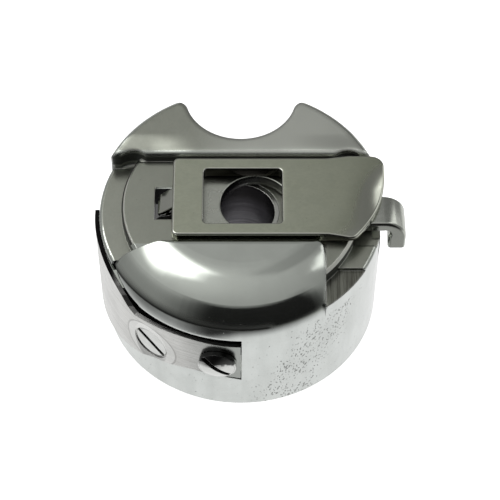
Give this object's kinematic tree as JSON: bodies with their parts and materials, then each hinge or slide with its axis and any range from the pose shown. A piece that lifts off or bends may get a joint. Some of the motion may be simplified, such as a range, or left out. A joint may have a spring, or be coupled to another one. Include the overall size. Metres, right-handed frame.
{
  "type": "bobbin case",
  "caption": "Round polished steel bobbin case for a rotary hook sewing machine, with a hinged latch, a sliding lock plate with a bent finger, a leaf tension spring and a half-round notch.",
  "frame": {"origin": "on the bobbin axis, in the plane of the open rim, at the mouth of the hub tube", "axes": "+Z along the bobbin axis from the open rim to the face, +X along the latch to its free end, -Y towards the leaf spring's screws"},
  "size_m": [0.0253, 0.0237, 0.0132],
  "materials": {
    "case_steel": "polished",
    "tube_steel": "brushed",
    "slide_steel": "satin",
    "lever_steel": "polished",
    "pin_steel": "satin",
    "wire_steel": "satin",
    "leaf_steel": "polished",
    "screw_steel": "polished"
  },
  "bodies": {
    "case": {"case_body": "case_steel", "center_tube": "tube_steel", "stop_pin": "pin_steel", "tension_spring": "leaf_steel", "fixing_screw": "screw_steel", "slide_spring": "wire_steel"},
    "slide": {"latch_slide": "slide_steel", "hinge_pin": "pin_steel"},
    "lever": {"latch_lever": "lever_steel"},
    "tension_screw_body": {"tension_screw": "screw_steel"}
  },
  "joints": [
    {"name": "slide_travel", "type": "slide", "parent": "case", "child": "slide", "axis": [-1, 0, 0], "range_m": [0, 0.0012], "stiffness_N_per_m": 500, "springref_m": -0.001, "deforming": ["slide_spring"]},
    {"name": "latch_flip", "type": "hinge", "parent": "slide", "child": "lever", "pos_m": [-0.00518, 0, 0.0125], "axis": [0, -1, 0], "range_deg": [0, 75]},
    {"name": "tension_screw_turn", "type": "hinge", "parent": "case", "child": "tension_screw_body", "pos_m": [-0.00707, -0.00875, 0.00537], "axis": [-0.606, -0.7955, 0], "range_deg": [-180, 180]}
  ],
  "couplings": [
    {"joint": "latch_flip", "follows": "slide_travel", "rad_per_m": 1090.8}
  ]
}
